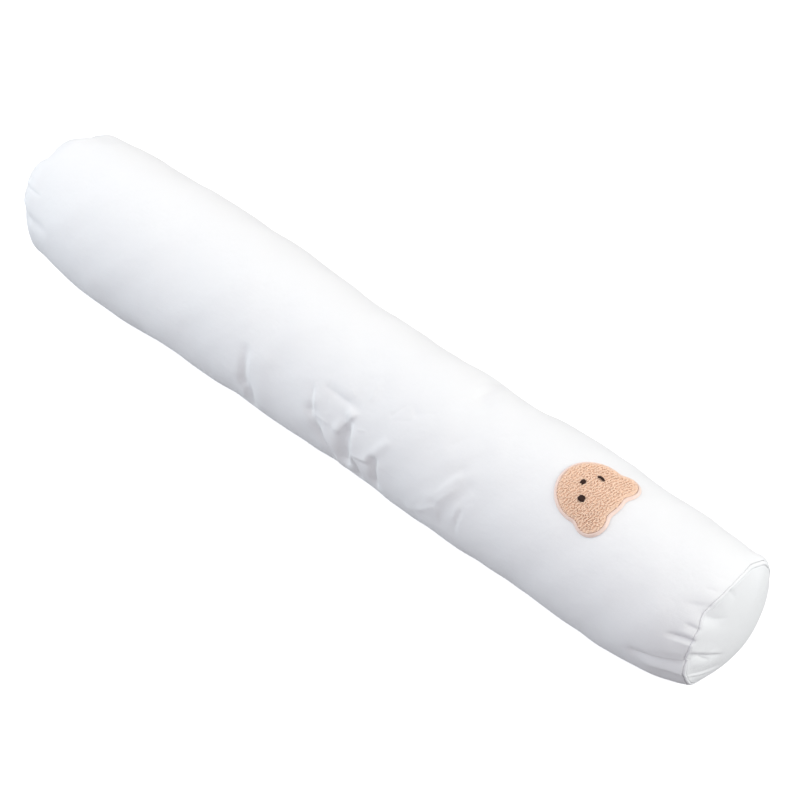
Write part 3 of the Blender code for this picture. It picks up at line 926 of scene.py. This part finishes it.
def make_loops(settings, material):
    """Terry loops in slanting rows, each a small arch of yarn, left out under the eyes and nose."""
    random = np.random.default_rng(LOOP_SEED)
    reach = HEAD_HALF_WIDTH + EAR_RADIUS
    row_count = int(2 * reach / settings.row_pitch)
    loop_count = int(2 * reach / settings.loop_pitch)
    row, place = np.meshgrid(np.arange(row_count), np.arange(loop_count), indexing="ij")
    over = (row - row_count / 2 + random.normal(0.0, LOOP_OVER_SPREAD, row.shape)) * settings.row_pitch
    along = (place - loop_count / 2 + random.uniform(0.0, 1.0, row.shape)) * settings.loop_pitch
    across = along * math.cos(ROW_SLANT) - over * math.sin(ROW_SLANT)
    up = along * math.sin(ROW_SLANT) + over * math.cos(ROW_SLANT)
    keep = head_distance(across, up) < -LOOP_EDGE
    for feature in FEATURES:
        off_across = (across - feature.across) / feature.half_width
        off_up = (up - feature.up) / feature.half_height
        keep &= np.hypot(off_across, off_up) > FEATURE_ROOM
    across, up = across[keep], up[keep]
    count = len(across)
    turn = random.normal(ROW_SLANT, LOOP_TURN_SPREAD, count)
    length = settings.loop_length * random.uniform(*LOOP_LENGTHS, count)
    inward = smooth_step(-head_distance(across, up) / PILE_SLOPE)
    height = (PILE_TOP - PILE_FOOT - settings.yarn_radius) * (LOW_LOOP + (1 - LOW_LOOP) * inward)
    height *= random.uniform(*LOOP_HEIGHTS, count)
    lean = random.normal(0.0, LOOP_LEAN_SPREAD, count) * height
    sweep = np.linspace(0.0, math.pi, len(LOOP_THICKNESS))
    along = -np.cos(sweep)[None, :] * length[:, None] / 2
    rise = np.sin(sweep)[None, :]
    path_across = across[:, None] + along * np.cos(turn)[:, None] - rise * (lean * np.sin(turn))[:, None]
    path_up = up[:, None] + along * np.sin(turn)[:, None] + rise * (lean * np.cos(turn))[:, None]
    paths = lay(path_across, path_up, PILE_FOOT + rise * height[:, None])
    around, length_way = skin_frame(across, up, PILE_TOP)[:2]
    flat_side = length_way * np.cos(turn)[:, None] - around * np.sin(turn)[:, None]
    radii = settings.yarn_radius * LOOP_THICKNESS
    mesh = strand_mesh("terry_loops", paths, flat_side, radii, LOOP_SIDES)
    return show("terry_loops", mesh, material, [])


SATIN_SPACING = 0.00048     # between two stitches
SATIN_RADIUS = 0.00034
SATIN_DOME = 0.0009         # how much higher the middle of a feature is
SATIN_SINK = 0.0003         # how far its foot sits in the pile
SATIN_DROP = 0.0010         # how far a stitch's ends go down
SATIN_THICKNESS = np.array([0.7, 0.95, 1.0, 1.0, 1.0, 1.0, 1.0, 0.95, 0.7])     # along a stitch
SATIN_SIDES = 8
SHORTEST_STITCH = 0.05      # the least square of a stitch's share of the half height


def make_feature(feature, material):
    """An eye or the nose: rows of satin stitch, longest in the middle, over the terry."""
    rows = int(2 * feature.half_width / SATIN_SPACING)
    off = (np.arange(rows) - (rows - 1) / 2)[:, None] * SATIN_SPACING
    bulge = 1 - (off / feature.half_width) ** 2
    sweep = np.linspace(-1.0, 1.0, len(SATIN_THICKNESS))
    across = feature.across + off
    up = feature.up + feature.half_height * np.sqrt(np.maximum(bulge, SHORTEST_STITCH)) * sweep
    dome = SATIN_DOME * np.sqrt(np.maximum(bulge, 0.0)) * (1 - sweep ** 2)
    paths = lay(across, up, PILE_TOP - SATIN_SINK - SATIN_DROP * sweep ** 4 + dome)
    around = skin_frame(across[:, 0], feature.up, PILE_TOP)[0]
    mesh = strand_mesh(feature.name, paths, around, SATIN_RADIUS * SATIN_THICKNESS, SATIN_SIDES)
    return show(feature.name, mesh, material, [feature.node])


# The small stitches that show single: each is a short strand that dips into the cloth at both ends
STITCH_SWEEP = np.linspace(-1.0, 1.0, 5)
STITCH_THICKNESS = np.array([0.6, 1.0, 1.0, 1.0, 0.6])
STITCH_SIDES = 6
STITCH_DIP = 0.0003
BORDER_STITCHES = 130
BORDER_STITCH_HALF = 0.30   # of the distance between two stitches
BORDER_STITCH_RADIUS = 0.00016
BORDER_STITCH_LIFT = 0.0019
BORDER_STITCH_GROW = -0.0001            # of the head's outline, for the line of the stitches
OUTLINE_SAMPLES = 2001      # for the outline's length
SEAM_STITCHES = 170
SEAM_STITCH_HALF = 0.31
SEAM_STITCH_RADIUS = 0.00020
SEAM_STITCH_INSET = 0.00025
STITCH_FROM_SEAM = 0.0042


def show_stitches(name, paths, out, radius, material):
    """The piece for a run of single stitches."""
    mesh = strand_mesh(name, np.stack(paths, axis=1), out, radius * STITCH_THICKNESS, STITCH_SIDES)
    return show(name, mesh, material, [])


def make_border_stitches(material):
    """The small stitches that hold the terry down, in the groove inside the felt's raised border."""
    fine = np.linspace(0.0, math.tau, OUTLINE_SAMPLES)
    reach = head_reach(fine, BORDER_STITCH_GROW)
    step = np.hypot(np.diff(np.cos(fine) * reach), np.diff(np.sin(fine) * reach))
    length = np.append(0.0, np.cumsum(step))
    place = (np.arange(BORDER_STITCHES) + 0.5) / BORDER_STITCHES
    direction = np.interp(place * length[-1], length, fine)
    outline = head_reach(direction, 0.0)
    half_turn = BORDER_STITCH_HALF * length[-1] / BORDER_STITCHES / outline
    paths = []
    for sweep in STITCH_SWEEP:
        turned = direction + sweep * half_turn
        reach = head_reach(turned, BORDER_STITCH_GROW)
        lift = BORDER_STITCH_LIFT - STITCH_DIP * sweep ** 2
        paths.append(lay(np.cos(turned) * reach, np.sin(turned) * reach, lift))
    out = skin_frame(np.cos(direction) * outline, np.sin(direction) * outline, PILE_FOOT)[2]
    return show_stitches("border_stitches", paths, out, BORDER_STITCH_RADIUS, material)


def make_seam_stitches(name, side, material):
    """Stitches along the inner edge of an end panel's welt."""
    half_turn = SEAM_STITCH_HALF * 360.0 / SEAM_STITCHES
    middle = np.arange(SEAM_STITCHES) / SEAM_STITCHES * 360.0
    paths = []
    for sweep in STITCH_SWEEP:
        angle = np.mod(middle + sweep * half_turn, 360.0)
        share = 1 - STITCH_FROM_SEAM * welt_value("width", angle) / TUBE_RADIUS
        paths.append(end_points(side, angle, share, SEAM_STITCH_INSET + STITCH_DIP * sweep ** 2))
    out = np.broadcast_to(np.array([float(side), 0.0, 0.0]), (SEAM_STITCHES, 3))
    return show_stitches(name, paths, out, SEAM_STITCH_RADIUS, material)


# The stage


PAPER_ROUGHNESS = 0.9
PAPER_SPECULAR = 0.1
SENSOR_WIDTH = 36.0         # in mm
FARTHEST_VIEW = 50.0


def make_paper(name, height, settings, colour, glow):
    """A plain sheet of studio paper that reaches past every view."""
    half = settings.floor_width / 2
    corners = [(half * x, half * y, height) for x, y in ((-1, -1), (1, -1), (1, 1), (-1, 1))]
    mesh = bpy.data.meshes.new(name)
    mesh.from_pydata(corners, [], [(0, 1, 2, 3)])
    material = bpy.data.materials.new(name)
    material.use_nodes = True
    shader = material.node_tree.nodes["Principled BSDF"]
    shader.inputs["Base Color"].default_value = (*colour, 1.0)
    shader.inputs["Roughness"].default_value = PAPER_ROUGHNESS
    shader.inputs["Specular IOR Level"].default_value = PAPER_SPECULAR
    shader.inputs["Emission Color"].default_value = (1.0, 1.0, 1.0, 1.0)
    shader.inputs["Emission Strength"].default_value = glow
    mesh.materials.append(material)
    paper = bpy.data.objects.new(name, mesh)
    bpy.context.scene.collection.objects.link(paper)
    return paper


def make_floor(settings):
    """The floor that shows, and the greyer one under it whose light reaches the part's lower side."""
    shown = make_paper("floor", 0.0, settings, settings.floor_colour, settings.floor_glow)
    shown.visible_diffuse = False
    shown.visible_glossy = False
    under = make_paper("floor_under", -PAPER_GAP, settings, settings.bounce_colour, 0.0)
    under.visible_camera = False


Light = namedtuple("Light", "name place width height power colour")
LIGHTS = (
    Light("left_box", (-2.6, -1.5, 1.2), 2.0, 2.0, 39.5, (0.77, 0.92, 1.0)),
    Light("right_box", (5.2, 3.0, 2.8), 4.0, 4.0, 231.0, (0.94, 1.0, 0.93)),
    Light("top_box", (-1.5, 0.0, 3.0), 3.0, 3.0, 18.0, (1.0, 0.91, 0.66)),
)


def make_light(row):
    """A soft box that faces the middle of the part."""
    data = bpy.data.lights.new(row.name, "AREA")
    data.shape = "RECTANGLE"
    data.size = row.width
    data.size_y = row.height
    data.energy = row.power
    data.color = row.colour
    light = bpy.data.objects.new(row.name, data)
    light.location = row.place
    light.rotation_mode = "QUATERNION"
    light.rotation_quaternion = Vector(row.place).to_track_quat("Z", "Y")
    bpy.context.scene.collection.objects.link(light)


def make_camera(settings):
    """The camera at the photograph's angle."""
    azimuth, elevation = settings.azimuth, settings.elevation
    level = math.cos(elevation)
    back = Vector((math.sin(azimuth) * level, -math.cos(azimuth) * level, math.sin(elevation)))
    data = bpy.data.cameras.new("camera")
    data.sensor_width = SENSOR_WIDTH
    data.lens = settings.lens
    data.shift_x = settings.shift_x
    data.clip_end = FARTHEST_VIEW
    camera = bpy.data.objects.new("camera", data)
    camera.location = Vector((0.0, 0.0, AXIS_HEIGHT)) + back * settings.distance
    camera.rotation_mode = "QUATERNION"
    camera.rotation_quaternion = back.to_track_quat("Z", "Y")
    bpy.context.scene.collection.objects.link(camera)
    bpy.context.scene.camera = camera


def make_world(settings):
    """The even light from all around."""
    world = bpy.data.worlds.new("studio")
    world.use_nodes = True
    background = world.node_tree.nodes["Background"]
    background.inputs["Color"].default_value = (*settings.room_colour, 1.0)
    background.inputs["Strength"].default_value = settings.room_light
    bpy.context.scene.world = world
    bpy.context.scene.view_settings.view_transform = "Standard"


# The add-on


def colour_property(name, description, default):
    """A colour that a user may change."""
    return FloatVectorProperty(
        name=name, description=description, subtype="COLOR", default=default, min=0, max=1)


def length_property(name, description, default):
    """A length that a user may change, in metres."""
    return FloatProperty(name=name, description=description, default=default, precision=5, unit="LENGTH")


class BolsterClothSettings(bpy.types.PropertyGroup):
    cotton_colour: colour_property(
        "Cotton", "The colour of the tube and the end panels", (0.90, 0.90, 0.915))
    thread_pitch: length_property("Thread pitch", "Between two threads of the weave", 0.0003)


class BolsterPatchSettings(bpy.types.PropertyGroup):
    felt_colour: colour_property("Felt", "The colour of the backing and its border", (0.96, 0.75, 0.665))
    terry_colour: colour_property("Terry", "The colour of the loops", (1.0, 0.72, 0.545))
    thread_colour: colour_property("Thread", "The colour of the eyes and nose", (0.055, 0.024, 0.018))
    row_pitch: length_property("Row pitch", "The distance between two rows of loops", 0.0029)
    loop_pitch: length_property("Loop pitch", "The distance between two loops of a row", 0.0013)
    loop_length: length_property("Loop length", "How long a loop's arch is on the cloth", 0.0021)
    yarn_radius: length_property("Yarn radius", "The radius of the loops' yarn", 0.00066)
    outline_steps: IntProperty(
        name="Outline steps", description="How many steps the head's outline has", default=240, min=40)


class BolsterStageSettings(bpy.types.PropertyGroup):
    azimuth: FloatProperty(
        name="Azimuth", description="Where the camera stands around the part",
        default=math.radians(41.45), subtype="ANGLE")
    elevation: FloatProperty(
        name="Elevation", description="How far the camera looks down",
        default=math.radians(48.87), subtype="ANGLE")
    distance: length_property("Distance", "From the camera to the part's middle line", 4.887)
    lens: FloatProperty(name="Lens", description="Focal length in mm", default=234.7, min=1.0)
    shift_x: FloatProperty(name="Shift", description="The photograph's framing", default=0.0203)
    floor_width: length_property("Floor width", "The floor's side", 40.0)
    floor_colour: colour_property("Floor", "The colour of the floor", (0.80, 0.80, 0.82))
    floor_glow: FloatProperty(name="Floor glow", description="The floor's own light", default=0.7)
    bounce_colour: colour_property(
        "Bounce", "What the floor throws back at the part", (0.42, 0.42, 0.43))
    room_colour: colour_property(
        "Room colour", "The tint of the light from all around", (0.975, 0.956, 1.0))
    room_light: FloatProperty(
        name="Room light", description="The strength of the light from all around", default=0.725)


class BOLSTER_OT_make_tube(bpy.types.Operator):
    """Makes the filled cotton tube"""

    bl_idname = "bolster.make_tube"
    bl_label = "Filled tube"

    def execute(self, context):
        make_tube_piece(context.scene.bolster_cloth)
        return {"FINISHED"}


class BOLSTER_OT_make_end_panels(bpy.types.Operator):
    """Makes the two round end panels with their stitched welts"""

    bl_idname = "bolster.make_end_panels"
    bl_label = "End panels"

    def execute(self, context):
        settings = context.scene.bolster_cloth
        cotton = cotton_material("panel_cotton", settings.cotton_colour, settings.thread_pitch)
        thread = yarn_material("white_thread", settings.cotton_colour, SEWING_THREAD)
        make_panel_piece("panel_right", "end_panel_right", 1, cotton)
        make_panel_piece("panel_left", "end_panel_left", -1, cotton)
        make_seam_stitches("seam_stitches_right", 1, thread)
        make_seam_stitches("seam_stitches_left", -1, thread)
        return {"FINISHED"}


class BOLSTER_OT_make_head(bpy.types.Operator):
    """Makes the sewn-on head: felt, terry with its loops, and the border's stitches"""

    bl_idname = "bolster.make_head"
    bl_label = "Sewn-on head"

    def execute(self, context):
        settings = context.scene.bolster_patch
        directions = np.arange(settings.outline_steps) / settings.outline_steps * math.tau
        felt = felt_material("blush_felt_nap", settings.felt_colour)
        ground = felt_material("terry_ground_cloth", scaled(settings.terry_colour, GROUND_SHADE))
        yarn = yarn_material("terry_yarn", settings.terry_colour, TERRY_YARN)
        backing, felt_size, felt_area = make_layer(
            "head_felt", FELT_PROFILE, FELT_UNDERSIDE, directions, felt, ["patch_backing"])
        terry, terry_size, terry_area = make_layer(
            "head_terry", GROUND_PROFILE, GROUND_UNDERSIDE, directions, ground, ["patch_pile"])
        loops = make_loops(settings, yarn)
        stitches = make_border_stitches(yarn)
        return {"FINISHED"}


class BOLSTER_OT_make_face(bpy.types.Operator):
    """Makes the eyes and the nose in satin stitch"""

    bl_idname = "bolster.make_face"
    bl_label = "Eyes and nose"

    def execute(self, context):
        settings = context.scene.bolster_patch
        thread = yarn_material("satin_thread", settings.thread_colour, SATIN_THREAD)
        for feature in FEATURES:
            make_feature(feature, thread)
        return {"FINISHED"}


class BOLSTER_OT_make_stage(bpy.types.Operator):
    """Makes the floor, the lights and the camera"""

    bl_idname = "bolster.make_stage"
    bl_label = "Stage"

    def execute(self, context):
        settings = context.scene.bolster_stage
        make_world(settings)
        make_floor(settings)
        for light in LIGHTS:
            make_light(light)
        make_camera(settings)
        return {"FINISHED"}


class BOLSTER_PT_pieces(bpy.types.Panel):
    """The pieces of the bolster and the sizes that a user may change"""

    bl_label = "Baby bolster pillow"
    bl_idname = "BOLSTER_PT_pieces"
    bl_space_type = "VIEW_3D"
    bl_region_type = "UI"
    bl_category = "Bolster"

    def draw(self, context):
        layout = self.layout
        scene = context.scene
        for group in (scene.bolster_cloth, scene.bolster_patch, scene.bolster_stage):
            box = layout.box()
            for name in group.__annotations__:
                box.prop(group, name)
        for step in STEPS:
            layout.operator(step.bl_idname)


STEPS = (
    BOLSTER_OT_make_tube,
    BOLSTER_OT_make_end_panels,
    BOLSTER_OT_make_head,
    BOLSTER_OT_make_face,
    BOLSTER_OT_make_stage,
)
CLASSES = (BolsterClothSettings, BolsterPatchSettings, BolsterStageSettings, *STEPS, BOLSTER_PT_pieces)


def register():
    for cls in CLASSES:
        bpy.utils.register_class(cls)
    bpy.types.Scene.bolster_cloth = PointerProperty(type=BolsterClothSettings)
    bpy.types.Scene.bolster_patch = PointerProperty(type=BolsterPatchSettings)
    bpy.types.Scene.bolster_stage = PointerProperty(type=BolsterStageSettings)


def unregister():
    del bpy.types.Scene.bolster_stage
    del bpy.types.Scene.bolster_patch
    del bpy.types.Scene.bolster_cloth
    for cls in reversed(CLASSES):
        bpy.utils.unregister_class(cls)


def main():
    """Makes every piece and the stage."""
    register()
    bpy.ops.bolster.make_tube()
    bpy.ops.bolster.make_end_panels()
    bpy.ops.bolster.make_head()
    bpy.ops.bolster.make_face()
    bpy.ops.bolster.make_stage()


if __name__ == "__main__":
    main()
